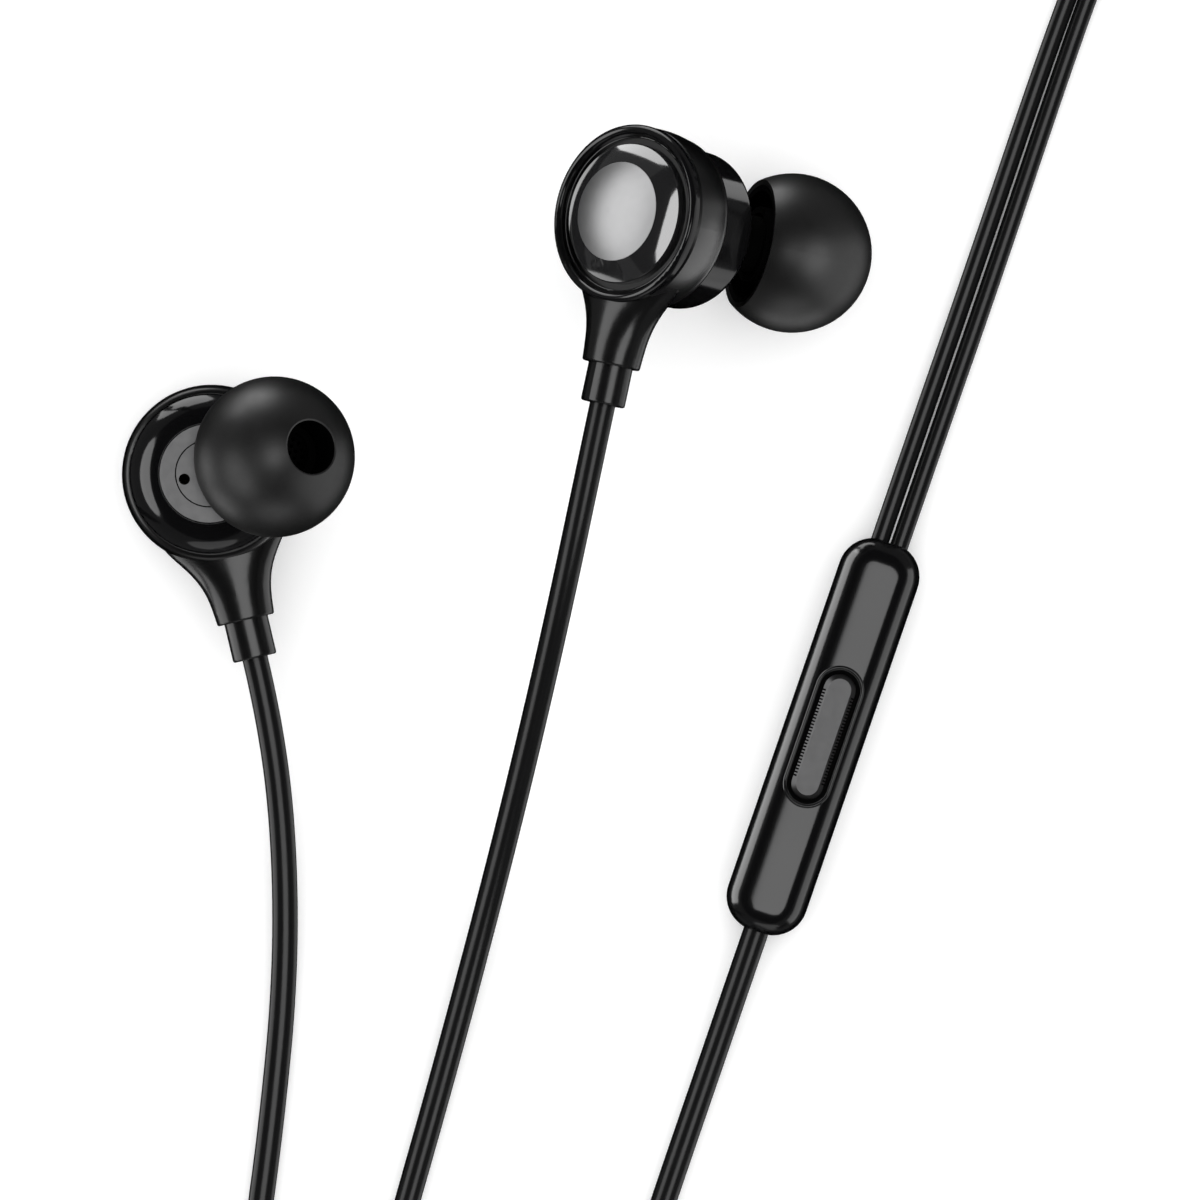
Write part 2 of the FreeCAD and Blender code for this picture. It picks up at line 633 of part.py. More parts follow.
def main():
    os.makedirs("parts", exist_ok=True)
    for name, make in EARBUD_PIECES.items():
        save("left_" + name, place_left(make()))
        save("right_" + name, place_right(make()))
    front, back = remote_shells()
    remote = {
        "remote_front_shell": front, "remote_back_shell": back, "remote_button": button(),
        "remote_switch": switch_body(), "remote_plunger": switch_plunger(),
        "remote_circuit_board": circuit_board(), "remote_microphone": microphone()}
    for name, shape in remote.items():
        save(name, place_remote(shape))
    front, back = splitter_shells()
    save("splitter_front", front)
    save("splitter_back", back)
    for name, shape in plug_pieces():
        save(name, along_plug(shape))
    save("main_cord_coil", main_cord_coil())
    save("coil_tie", coil_tie())
    for name, (route, diameter) in CORDS.items():
        shape, length, radii, ratio = tube(route, diameter)
        print(f"{name}: length {length:.1f}, volume ratio {ratio:.4f}, radii {radii}")
        save(name, shape)


main()
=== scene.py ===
"""Black in-ear earphones laid out on a pale table, seen from straight above.

The CAD frame gives every rigid piece and its place. This script adds the cords, the smooth
moulded shapes and every material. Sizes are millimetres, turned into metres by MM.
"""
import json
import math
import bmesh
import bpy
from mathutils import Matrix, Vector


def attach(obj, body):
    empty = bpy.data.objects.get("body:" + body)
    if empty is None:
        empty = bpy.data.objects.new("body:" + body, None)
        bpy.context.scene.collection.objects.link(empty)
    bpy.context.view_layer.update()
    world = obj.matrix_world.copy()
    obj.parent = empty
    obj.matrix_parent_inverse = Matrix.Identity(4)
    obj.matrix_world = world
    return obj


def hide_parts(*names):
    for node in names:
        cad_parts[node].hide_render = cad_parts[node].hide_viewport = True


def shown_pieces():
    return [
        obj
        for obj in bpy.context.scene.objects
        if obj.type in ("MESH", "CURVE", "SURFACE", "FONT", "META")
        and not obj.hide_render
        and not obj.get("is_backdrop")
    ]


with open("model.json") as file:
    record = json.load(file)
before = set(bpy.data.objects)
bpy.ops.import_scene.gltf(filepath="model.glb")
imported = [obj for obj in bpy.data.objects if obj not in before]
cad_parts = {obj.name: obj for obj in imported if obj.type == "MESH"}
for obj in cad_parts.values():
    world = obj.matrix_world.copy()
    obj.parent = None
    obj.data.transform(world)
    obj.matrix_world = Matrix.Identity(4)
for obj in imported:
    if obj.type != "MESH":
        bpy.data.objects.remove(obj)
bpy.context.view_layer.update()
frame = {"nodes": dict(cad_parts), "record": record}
nodes = frame["nodes"]

MM = 0.001
ROOT = "earphones"


def mm(*values):
    """A point or direction given in millimetres, in metres."""
    return Vector(values) * MM


def add_object(name, data):
    """A new object with the given data, in the scene."""
    made = bpy.data.objects.new(name, data)
    bpy.context.scene.collection.objects.link(made)
    return made


# ---- Camera: straight above, with a long lens ----
VIEW_CENTRE = (6.1, -5.4)       # the point on the table in the middle of the picture, mm
VIEW_WIDTH = 93.75              # mm of table across the picture
CAMERA_HEIGHT = 1.04            # m
SENSOR_MM = 36


def add_camera():
    data = bpy.data.cameras.new("camera")
    data.sensor_width = SENSOR_MM
    data.lens = SENSOR_MM * CAMERA_HEIGHT / (VIEW_WIDTH * MM)
    data.clip_start = 0.01
    data.clip_end = 20
    camera = add_object("camera", data)
    camera.location = (VIEW_CENTRE[0] * MM, VIEW_CENTRE[1] * MM, CAMERA_HEIGHT)
    bpy.context.scene.camera = camera


add_camera()


# ---- Cords: control points in millimetres, as the CAD tubes have them ----
EAR_CORD_D = 2.0
STRAND_D = 1.44
MAIN_CORD_D = 2.2

LEFT_EAR_ROUTE = [
    (-20.75, -9.93, 3.94), (-19.48, -15.27, 3.94), (-18.5, -24.4, 2.0), (-18.45, -34.8, 1.0),
    (-19.5, -46.0, 1.0), (-21.0, -57.0, 1.0), (-21.4, -68.0, 1.0), (-16.8, -79.5, 1.0),
    (-4.0, -88.2, 1.0), (12.0, -91.6, 1.0), (30.0, -91.5, 1.0), (48.0, -92.2, 1.0),
    (62.5, -88.2, 1.0), (71.3, -76.5, 1.0), (72.5, -58.0, 1.0), (71.2, -40.0, 1.0),
    (72.2, -24.0, 1.0), (71.6, -14.0, 1.0), (72.3, -6.0, 1.0), (72.65, 1.2, 1.15), (68.9, 5.1, 1.5),
    (63.5, 5.2, 1.9), (59.65, 1.3, 2.3), (59.65, -4.0, 2.3)]
RIGHT_EAR_ROUTE = [
    (6.3, 9.71, 12.5), (5.14, 4.23, 12.58), (3.3, -4.5, 10.8), (1.2, -13.8, 7.3),
    (-1.1, -23.3, 4.0), (-3.6, -33.0, 1.7), (-6.4, -43.4, 1.0), (-9.3, -53.6, 1.0),
    (-11.4, -61.2, 1.0), (-7.9, -68.0, 1.0), (-0.6, -70.6, 1.0), (6.0, -66.8, 1.0),
    (8.7, -59.4, 1.0), (11.7, -50.4, 1.0), (14.8, -41.4, 1.0), (17.35, -33.87, 1.9), (18.39, -30.85, 1.9)]
STRAND_A_ROUTE = [
    (27.85, -1.0, 1.9), (28.83, 1.84, 1.9), (31.2, 8.7, 1.0), (35.2, 20.15, 0.72),
    (40.95, 37.2, 0.72), (44.5, 46.6, 0.72), (50.2, 50.2, 0.72), (56.0, 48.6, 0.72),
    (58.9, 42.6, 0.72), (58.6, 32.0, 0.72), (57.4, 21.0, 0.72), (58.1, 10.0, 1.1), (57.7, 2.4, 2.3),
    (57.7, -4.0, 2.3)]
STRAND_B_ROUTE = [
    (29.32, -1.5, 1.9), (30.3, 1.33, 1.9), (32.7, 8.2, 1.0), (36.7, 19.65, 0.72),
    (42.4, 36.65, 0.72), (45.6, 45.5, 0.72), (50.3, 48.55, 0.72), (55.0, 47.3, 0.72),
    (57.3, 42.4, 0.72), (57.04, 32.0, 0.72), (55.84, 21.0, 0.72), (56.54, 10.0, 1.1), (56.14, 2.4, 2.3),
    (56.14, -4.0, 2.3)]
MAIN_ROUTE = [
    (58.2, -18.0, 2.3), (58.2, -24.0, 2.3), (59.6, -35.0, 1.1), (59.2, -48.0, 1.1),
    (60.9, -58.0, 1.3), (61.4, -66.5, 1.5)]
TAIL_ROUTE = [
    (40.2, -60.8, 6.4), (44.3, -56.7, 7.7), (50.0, -56.7, 8.4),
    (54.05, -60.55, 9.0), (54.05, -65.9, 9.0)]

COIL_CENTRE = (45.0, -71.5)
TURN_POINTS = 16
# Each layer of the coil as (turns so far, radius, height of the cord's centre). The turns start
# on the +X side and run clockwise from above.
COIL_STAGES = [
    (0.0, 16.3, 1.5), (3.0, 9.7, 1.5), (3.5, 9.7, 1.5), (3.8, 10.8, 3.4), (4.2, 10.8, 3.4),
    (6.2, 15.2, 3.4), (6.6, 15.2, 3.4), (6.9, 16.3, 5.3), (7.25, 16.3, 5.3), (9.625, 11.0, 5.3)]


def coil_points():
    """The cord's points round the coil, in mm."""
    points = []
    last_turn = COIL_STAGES[-1][0]
    for step in range(round(last_turn * TURN_POINTS) + 1):
        turn = step / TURN_POINTS
        for (t0, r0, z0), (t1, r1, z1) in zip(COIL_STAGES, COIL_STAGES[1:]):
            if t0 <= turn <= t1:
                share = (turn - t0) / (t1 - t0)
                radius = r0 + share * (r1 - r0)
                height = z0 + share * (z1 - z0)
                break
        angle = -2 * math.pi * turn
        points.append((COIL_CENTRE[0] + radius * math.cos(angle),
                       COIL_CENTRE[1] + radius * math.sin(angle), height))
    return points


def cord_curve(name, route, diameter):
    """One open NURBS spline of order 3 with the route as its control points."""
    curve = bpy.data.curves.new(name, "CURVE")
    curve.dimensions = "3D"
    curve.bevel_depth = 1       # each point's radius is then the cord's own
    curve.bevel_resolution = 7
    curve.resolution_u = 10
    curve.use_fill_caps = True
    spline = curve.splines.new("NURBS")
    spline.points.add(len(route) - 1)
    for point, place in zip(spline.points, route):
        point.co = (*mm(*place), 1)
        point.radius = diameter * MM / 2
    spline.order_u = 3
    spline.use_endpoint_u = True
    piece = add_object(name, curve)
    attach(piece, ROOT)
    return piece


# ---- Remote's front cover, with finer rounds than the CAD mesh ----
REMOTE_PLACE = (23.49, -16.05, 0)
REMOTE_TURN = math.radians(-19)
REMOTE_W, REMOTE_L, REMOTE_T = 6.4, 32.1, 4.8
REMOTE_CORNER = 2.7
REMOTE_ROUND = 1.9
ROUND_STEPS = 18
CROWN_R = 12.0
CROWN_INSETS = (2.2, 2.5, 2.8, 3.1)     # rings over the crowned front, in from the outline
LEAST_CORNER = 0.05
REMOTE_SPLIT = 1.9
HOLLOW_W, HOLLOW_L, HOLLOW_TOP, HOLLOW_CORNER = 4.8, 28.9, 4.0, 0.7
SLOT_L, SLOT_W = 10.9, 3.2
SLOT_BOTTOM = 1.0
STRANDS_EXIT_R, CORD_EXIT_R = 1.62, 1.1
EXIT_DEPTH = 0.4                # how far the cords' exits are cut into the ends
CUT_PAST = 0.5                  # how far a cutter stands out of the top
BEAD_R = 0.16
BEAD_SIDES = 16
BEAD_SUNK = 0.05                # how far the bead's middle is below the cover's surface
HAIR = 0.001                    # keeps the straight part of a round end from vanishing
SAME_POINT = 1e-7               # m


def rounded_ring(half_w, half_l, corner, corner_steps=10, side_steps=44, end_steps=4):
    """Points round a rectangle with round corners, anticlockwise, starting on its right side."""
    points = []
    straight_l, straight_w = half_l - corner, half_w - corner
    points += [(half_w, straight_l * (2 * i / side_steps - 1)) for i in range(side_steps)]
    for turn, (cx, cy) in enumerate(((1, 1), (-1, 1), (-1, -1), (1, -1))):
        for step in range(corner_steps):
            angle = math.pi / 2 * (turn + step / corner_steps)
            points.append((cx * straight_w + corner * math.cos(angle),
                           cy * straight_l + corner * math.sin(angle)))
        if turn == 0:
            points += [(straight_w * (1 - 2 * i / end_steps), half_l) for i in range(end_steps)]
        elif turn == 1:
            points += [(-half_w, straight_l * (1 - 2 * i / side_steps)) for i in range(side_steps)]
        elif turn == 2:
            points += [(straight_w * (2 * i / end_steps - 1), -half_l) for i in range(end_steps)]
    return points


def add_rows(shape, rings):
    """A row of corners for each ring of (x, y, z) points in mm."""
    return [[shape.verts.new(mm(*point)) for point in ring] for ring in rings]


def join_rows(shape, lows, highs):
    """Faces between each row and the one after it."""
    for low, high in zip(lows, highs):
        for i in range(len(low)):
            j = (i + 1) % len(low)
            shape.faces.new((low[i], low[j], high[j], high[i]))


def finished(name, shape):
    """The object made from the shape, with its faces turned outward."""
    bmesh.ops.recalc_face_normals(shape, faces=shape.faces)
    mesh = bpy.data.meshes.new(name)
    shape.to_mesh(mesh)
    shape.free()
    return add_object(name, mesh)


def stacked(name, rings):
    """A closed mesh through rings of (x, y, z) points in mm, with a face over each end."""
    shape = bmesh.new()
    rows = add_rows(shape, rings)
    join_rows(shape, rows, rows[1:])
    shape.faces.new(reversed(rows[0]))
    shape.faces.new(rows[-1])
    bmesh.ops.remove_doubles(shape, verts=shape.verts, dist=SAME_POINT)
    return finished(name, shape)


def looped(name, rings):
    """A closed mesh through rings of (x, y, z) points in mm, the last joined to the first."""
    shape = bmesh.new()
    rows = add_rows(shape, rings)
    join_rows(shape, rows, rows[1:] + rows[:1])
    return finished(name, shape)


def outward(loop, index):
    """The direction in a flat anticlockwise loop that points away from its inside."""
    before, after = loop[index - 1], loop[(index + 1) % len(loop)]
    along = Vector((after[0] - before[0], after[1] - before[1])).normalized()
    return Vector((along.y, -along.x))


def cut(piece, cutters):
    """Takes the cutters away from the piece and removes them."""
    for cutter in cutters:
        modifier = piece.modifiers.new("cut", "BOOLEAN")
        modifier.operation = "DIFFERENCE"
        modifier.solver = "EXACT"
        modifier.object = cutter
    shown = piece.evaluated_get(bpy.context.evaluated_depsgraph_get())
    result = bpy.data.meshes.new_from_object(shown)
    piece.modifiers.clear()
    piece.data = result
    for cutter in cutters:
        bpy.data.objects.remove(cutter)


def smooth(piece, sharp_degrees=35):
    piece.data.shade_smooth()
    piece.data.set_sharp_from_angle(angle=math.radians(sharp_degrees))


def crown(x):
    """Height of the remote's crowned front at a distance from its middle line."""
    return REMOTE_T - CROWN_R + math.sqrt(CROWN_R ** 2 - x ** 2)


def cover_rings():
    """Rings from the cover's split line round its edge and over its crowned front."""
    outline = rounded_ring(REMOTE_W / 2, REMOTE_L / 2, REMOTE_CORNER)
    rings = [[(x, y, REMOTE_SPLIT) for x, y in outline]]
    levels = []
    for step in range(ROUND_STEPS + 1):
        angle = math.pi / 2 * step / ROUND_STEPS
        levels.append((REMOTE_ROUND * (1 - math.cos(angle)), REMOTE_ROUND * (1 - math.sin(angle))))
    levels += [(inset, 0) for inset in CROWN_INSETS]
    for inset, drop in levels:
        corner = max(REMOTE_CORNER - inset, LEAST_CORNER)
        ring = rounded_ring(REMOTE_W / 2 - inset, REMOTE_L / 2 - inset, corner)
        rings.append([(x, y, crown(x) - drop) for x, y in ring])
    return rings


def bar_cutter(name, half_w, half_l, corner, heights):
    """An upright bar with round corners between two heights."""
    ring = rounded_ring(half_w, half_l, corner, side_steps=4)
    return stacked(name, [[(x, y, height) for x, y in ring] for height in heights])


def scoop_cutter(name, radius, start, end, sides=48):
    """A round bar along y at the height of the cords' exits."""
    angles = [2 * math.pi * i / sides for i in range(sides)]
    rings = []
    for y in (start, end):
        rings.append([(radius * math.cos(a), y, REMOTE_SPLIT + radius * math.sin(a)) for a in angles])
    return stacked(name, rings)


def cover_height(x):
    """Height of the front cover away from its ends, at a distance from its middle line."""
    inset = min(REMOTE_W / 2 - abs(x), REMOTE_ROUND)
    return crown(x) - REMOTE_ROUND + math.sqrt(REMOTE_ROUND ** 2 - (REMOTE_ROUND - inset) ** 2)


def place_on_remote(piece):
    piece.data.transform(Matrix.Translation(mm(*REMOTE_PLACE)) @ Matrix.Rotation(REMOTE_TURN, 4, "Z"))
    smooth(piece)
    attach(piece, ROOT)


def slot_bead():
    """The thin raised bead round the button's slot."""
    half_w, half_l = SLOT_W / 2 + BEAD_R, SLOT_L / 2 + BEAD_R
    loop = rounded_ring(half_w, half_l, half_w - HAIR, 14, 24, 1)
    rings = []
    for index, (x, y) in enumerate(loop):
        out = outward(loop, index)
        middle = cover_height(x) - BEAD_SUNK
        ring = []
        for step in range(BEAD_SIDES):
            angle = 2 * math.pi * step / BEAD_SIDES
            reach, rise = BEAD_R * math.cos(angle), BEAD_R * math.sin(angle)
            ring.append((x + out.x * reach, y + out.y * reach, middle + rise))
        rings.append(ring)
    bead = looped("slot_bead", rings)
    place_on_remote(bead)
    return bead


def remote_cover():
    """The remote's front with its hollow, the button's slot and the cords' exits cut out."""
    cover = stacked("remote_cover", cover_rings())
    inner = REMOTE_L / 2 - EXIT_DEPTH
    slot_heights = (SLOT_BOTTOM, REMOTE_T + CUT_PAST)
    cut(cover, [
        bar_cutter("hollow", HOLLOW_W / 2, HOLLOW_L / 2, HOLLOW_CORNER, (-1, HOLLOW_TOP)),
        bar_cutter("slot", SLOT_W / 2, SLOT_L / 2, SLOT_W / 2 - HAIR, slot_heights),
        scoop_cutter("top_scoop", STRANDS_EXIT_R, inner, inner + 2),
        scoop_cutter("end_scoop", CORD_EXIT_R, -inner, -inner - 2)])
    place_on_remote(cover)
    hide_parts("remote_front_shell")
    return cover


cover = remote_cover()
bead = slot_bead()


# ---- Strap round the coil ----
TIE_CENTRE = (32.33, -71.5, 3.45)
TIE_HALF_W, TIE_HALF_H, TIE_CORNER = 4.58, 3.2, 0.9
TIE_WIDTH = 4.0
TIE_T = 0.34
TIE_RIM = 0.42                  # width of the raised rim along each edge
TIE_STEPS = (12, 16, 24)        # points round a corner, up a side and along the top


def tie_section():
    """The strap's section as (across, out): a flat band with a rounded rim on each side."""
    half, thick = TIE_WIDTH / 2, TIE_T / 2
    outer = [(-half + 0.05, thick * 0.6), (-half + 0.16, thick),
             (-half + TIE_RIM, thick), (-half + TIE_RIM + 0.12, thick * 0.4)]
    top = outer + [(-x, out) for x, out in reversed(outer)]
    return top + [(half, 0), (half - 0.1, -thick), (-half + 0.1, -thick), (-half, 0)]


def coil_strap():
    """A strap with raised rims round the coil's turns."""
    loop = rounded_ring(TIE_HALF_W, TIE_HALF_H, TIE_CORNER, *TIE_STEPS)
    rings = []
    for index, (x, z) in enumerate(loop):
        out = outward(loop, index)
        rings.append([(TIE_CENTRE[0] + x + out.x * rise, TIE_CENTRE[1] + across,
                       TIE_CENTRE[2] + z + out.y * rise) for across, rise in tie_section()])
    strap = looped("coil_strap", rings)
    smooth(strap)
    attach(strap, ROOT)
    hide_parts("coil_tie")
    return strap


strap = coil_strap()


# ---- Cords as pieces ----
left_cord = cord_curve("left_cord", LEFT_EAR_ROUTE, EAR_CORD_D)
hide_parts("left_ear_cord")
right_cord = cord_curve("right_cord", RIGHT_EAR_ROUTE, EAR_CORD_D)
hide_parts("right_ear_cord")
strand_a = cord_curve("strand_a", STRAND_A_ROUTE, STRAND_D)
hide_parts("right_strand_a")
strand_b = cord_curve("strand_b", STRAND_B_ROUTE, STRAND_D)
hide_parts("right_strand_b")
main_cord = cord_curve("main_lead", MAIN_ROUTE + coil_points()[1:] + TAIL_ROUTE, MAIN_CORD_D)
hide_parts("main_cord", "main_cord_coil", "main_cord_tail")
cords = [left_cord, right_cord, strand_a, strand_b, main_cord]


# ---- Materials ----
BUMP_DETAIL, PATCH_DETAIL = 3.0, 2.0
PATCH_SIZE = 8                  # patches of roughness are this many times larger than the bumps


def material(name, colour, roughness, metallic=0.0, specular=0.5):
    """A Principled material with its plain values set on the shader."""
    made = bpy.data.materials.new(name)
    made.use_nodes = True
    shader = made.node_tree.nodes["Principled BSDF"]
    shader.inputs["Base Color"].default_value = (*colour, 1)
    shader.inputs["Roughness"].default_value = roughness
    shader.inputs["Metallic"].default_value = metallic
    shader.inputs["Specular IOR Level"].default_value = specular
    return made


def noise(made, scale, detail):
    """A noise texture in object space, scale in features per millimetre."""
    tree = made.node_tree
    coords = tree.nodes.new("ShaderNodeTexCoord")
    texture = tree.nodes.new("ShaderNodeTexNoise")
    texture.inputs["Scale"].default_value = scale / MM
    texture.inputs["Detail"].default_value = detail
    tree.links.new(coords.outputs["Object"], texture.inputs["Vector"])
    return texture


def ramp(made, source, low, high):
    """Maps a texture's value to the range low to high."""
    tree = made.node_tree
    spread = tree.nodes.new("ShaderNodeMapRange")
    spread.inputs["To Min"].default_value = low
    spread.inputs["To Max"].default_value = high
    tree.links.new(source, spread.inputs["Value"])
    return spread.outputs["Result"]


def grain(made, scale, height, rough=None):
    """Fine surface grain: a bump of the given height in mm, and roughness that varies in a range."""
    tree = made.node_tree
    shader = tree.nodes["Principled BSDF"]
    texture = noise(made, scale, BUMP_DETAIL)
    bump = tree.nodes.new("ShaderNodeBump")
    bump.inputs["Distance"].default_value = height * MM
    tree.links.new(texture.outputs["Fac"], bump.inputs["Height"])
    tree.links.new(bump.outputs["Normal"], shader.inputs["Normal"])
    if rough:
        patches = noise(made, scale / PATCH_SIZE, PATCH_DETAIL)
        tree.links.new(ramp(made, patches.outputs["Fac"], *rough), shader.inputs["Roughness"])
    return made


METAL = {"metallic": 1.0}
# Each look as (colour, roughness, grain's scale and height, range of roughness, other values).
LOOKS = {
    "gloss_black": ((0.003, 0.003, 0.0033), 0.10, 1.2, 0.001, (0.08, 0.13), {}),
    "cap_black": ((0.012, 0.012, 0.0125), 0.06, 1.2, 0.0006, (0.05, 0.08), {"specular": 1.0}),
    "remote_black": ((0.003, 0.003, 0.0033), 0.16, 1.2, 0.001, (0.14, 0.19), {}),
    "drum_black": ((0.003, 0.003, 0.0033), 0.30, 6.0, 0.001, (0.26, 0.34), {}),
    "cord_black": ((0.005, 0.005, 0.0053), 0.24, 4.0, 0.003, (0.20, 0.29), {"specular": 0.3}),
    "rubber_black": ((0.004, 0.004, 0.0042), 0.22, 7.0, 0.002, (0.18, 0.26), {}),
    "silicone": ((0.005, 0.005, 0.0052), 0.40, 9.0, 0.002, (0.36, 0.46), {"specular": 0.75}),
    # Painted shade: near black with hardly any shine, put on hollows, grooves and the nozzles.
    "painted_shade_black": ((0.0015, 0.0015, 0.0015), 0.55, 6.0, 0.001, (0.5, 0.6), {"specular": 0.05}),
    "satin_metal": ((0.30, 0.30, 0.303), 0.38, 14.0, 0.004, (0.35, 0.42), METAL),
    "plate_metal": ((0.22, 0.22, 0.222), 0.36, 14.0, 0.004, (0.33, 0.40), METAL),
    "button_metal": ((0.22, 0.22, 0.222), 0.38, 14.0, 0.004, (0.34, 0.44), METAL),
    "gold": ((0.85, 0.62, 0.28), 0.18, 5.0, 0.001, (0.15, 0.24), METAL),
    "steel": ((0.4, 0.4, 0.4), 0.3, 8.0, 0.002, (0.26, 0.36), METAL),
    # Painted shade: the sound hole's mesh is made near black so that the hole looks black.
    "mesh_painted_shade": ((0.01, 0.01, 0.01), 0.5, 8.0, 0.002, (0.45, 0.55), METAL),
    "dark_plastic": ((0.004, 0.004, 0.0042), 0.5, 8.0, 0.002, (0.45, 0.55), {}),
    "board_green": ((0.02, 0.10, 0.04), 0.35, 6.0, 0.002, (0.3, 0.42), {}),
    "copper": ((0.7, 0.32, 0.16), 0.3, 12.0, 0.003, (0.25, 0.35), METAL),
    # Painted shade: the film is made near black so that the vent hole in front of it looks black.
    "film": ((0.03, 0.026, 0.018), 0.25, 6.0, 0.001, (0.2, 0.3), {})}
looks = {}
for name, (colour, roughness, scale, height, rough, other) in LOOKS.items():
    looks[name] = grain(material(name, colour, roughness, **other), scale, height, rough)

SLOT_LOOKS = {
    "housing": "drum_black", "gloss_black": "gloss_black", "cap_gloss": "cap_black",
    "satin_metal": "satin_metal", "nozzle_plastic": "dark_plastic", "fine_mesh": "mesh_painted_shade",
    "silicone": "silicone", "inner_plastic": "dark_plastic", "soft_iron": "steel",
    "magnet": "steel", "copper_wire": "copper", "film": "film", "circuit_board": "board_green",
    "soft_moulding": "rubber_black", "cord_jacket": "cord_black", "remote_gloss": "remote_black",
    "button_metal": "button_metal", "plug_gold": "gold", "tie": "rubber_black"}


def dress(piece, look):
    """Gives the piece one look."""
    piece.data.materials.clear()
    piece.data.materials.append(looks[look])


def paint_shade_on_faces(piece, chosen):
    """Paints the faces that pass the test near black with hardly any shine: painted shade for a hollow."""
    piece.data.materials.append(looks["painted_shade_black"])
    for face in piece.data.polygons:
        if chosen(face):
            face.material_index = 1


TIP_SKIN_R = 5.9                # a sphere between the tip's outside and its inside
TIP_CENTRE = 10.2               # along the nozzle from its pivot
PIVOT_H = 6.0
TILT = math.radians(31.5)
# Each earbud's place in mm, the ways its front faces and its stem leaves, and its hand.
EARBUDS = {
    "left": (Vector((-24.13, 4.38, 1.54)), Vector((0, 0, 1)), Vector((0.230, -0.973, 0)), 1),
    "right": (Vector((7.85, 24.44, 14.14)), Vector((0.622, -0.1425, -0.770)).normalized(),
              Vector((-0.207, -0.978, 0.0138)), -1)}
FACE_H = 9.78
SEAM_SPAN = (2.4, 2.75)         # radii round the fine turned groove in the face plate, mm
SEAM_HEIGHTS = (FACE_H - 0.1, FACE_H - 0.01)
BUTTON_TOP = 5.0
BUTTON_FLANGE_TOP = 4.2
BEVEL_SLOPES = (0.5, 0.9)       # upward part of the normals on the button's knurled bevel
BELOW_TOP = 0.02


def tip_middle(side):
    """The middle of an ear tip."""
    place, front, stem, hand = EARBUDS[side]
    stem = (stem - front * stem.dot(front)).normalized()
    across = front.cross(stem) * hand
    axis = front * math.cos(TILT) + across * math.sin(TILT)
    return (place + front * PIVOT_H + axis * TIP_CENTRE) * MM


def inside_tip(side):
    """A test for the ear tip's faces on the inside of its skin or of its sound hole, where shade is
    painted.
    """
    middle = tip_middle(side)
    return lambda face: (face.center - middle).length < TIP_SKIN_R * MM


def in_seam(side):
    """A test for the face plate's faces at the bottom of its groove, where shade is painted."""
    place, front = EARBUDS[side][:2]

    def chosen(face):
        offset = face.center / MM - place
        height = offset.dot(front)
        radius = (offset - front * height).length
        return SEAM_SPAN[0] < radius < SEAM_SPAN[1] and SEAM_HEIGHTS[0] < height < SEAM_HEIGHTS[1]

    return chosen


def shaded_on_button(face):
    """Whether a face of the button is on its flange or inside a notch of its knurled bevel, where shade is
    painted.
    """
    height = face.center.z / MM
    on_bevel = BEVEL_SLOPES[0] < abs(face.normal.z) < BEVEL_SLOPES[1]
    return height < BUTTON_FLANGE_TOP or (height < BUTTON_TOP - BELOW_TOP and not on_bevel)


for entry in frame["record"]["subparts"]:
    dress(nodes[entry["node"]], SLOT_LOOKS[entry["material_slot"]])
for cord in cords:
    dress(cord, "cord_black")
dress(cover, "remote_black")
dress(bead, "remote_black")
dress(strap, "rubber_black")
# Painted shade: the nozzles, the ear tips' insides, the bottoms of the face plates' grooves and the
# button's flange and notches are painted near black.
for side in ("left", "right"):
    dress(nodes[side + "_face_plate"], "plate_metal")
    dress(nodes[side + "_nozzle"], "painted_shade_black")
    paint_shade_on_faces(nodes[side + "_ear_tip"], inside_tip(side))
    paint_shade_on_faces(nodes[side + "_face_plate"], in_seam(side))
paint_shade_on_faces(nodes["remote_button"], shaded_on_button)


# ---- Table and light ----
TABLE_HALF = 1.5                # m
TABLE_GLOW = 0.18


def add_table():
    """A pale floor that casts no shadow and that reflections don't show."""
    corners = [(x * TABLE_HALF, y * TABLE_HALF, 0) for x, y in ((-1, -1), (1, -1), (1, 1), (-1, 1))]
    mesh = bpy.data.meshes.new("table")
    mesh.from_pydata(corners, [], [(0, 1, 2, 3)])
    table = add_object("table", mesh)
    look = grain(material("table", (0.93, 0.93, 0.93), 0.8, specular=0.2), 0.5, 0.01)
    shader = look.node_tree.nodes["Principled BSDF"]
    shader.inputs["Emission Color"].default_value = (1, 1, 1, 1)
    shader.inputs["Emission Strength"].default_value = TABLE_GLOW
    table.data.materials.append(look)
    table.visible_glossy = False
    table.visible_shadow = False
    table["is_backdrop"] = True


def named(*endings):
    """The CAD nodes with these endings to their names."""
    return [nodes[name] for name in nodes if name.endswith(endings)]


def collected(name, pieces):
    """A collection of the pieces, for light linking."""
    collection = bpy.data.collections.new(name)
    for piece in pieces:
        collection.objects.link(piece)
    return collection


def link_receivers(panel, only_on):
    """Makes the panel light only the given pieces.

    Only they cast shadows in its light, and where one is an ear tip, the earbuds' fronts too.
    """
    fronts = []
    if any(piece in only_on for piece in named("ear_tip")):
        fronts = named("nozzle", "nozzle_mesh", "face_plate", "front_housing")
    blockers = only_on + [piece for piece in fronts if piece not in only_on]
    panel.light_linking.receiver_collection = collected(panel.name + "_receivers", only_on)
    panel.light_linking.blocker_collection = collected(panel.name + "_blockers", blockers)


def make_panel(name, size, radiance, shape, only_on):
    """A soft box that only reflections show, on all pieces or only on the given ones."""
    data = bpy.data.lights.new(name, "AREA")
    data.shape = shape
    data.size, data.size_y = size
    area = size[0] * size[1] * (math.pi / 4 if shape == "ELLIPSE" else 1)
    data.energy = radiance * math.pi * area
    panel = add_object(name, data)
    panel.visible_diffuse = False
    panel.visible_camera = False
    if only_on:
        link_receivers(panel, only_on)
    return panel


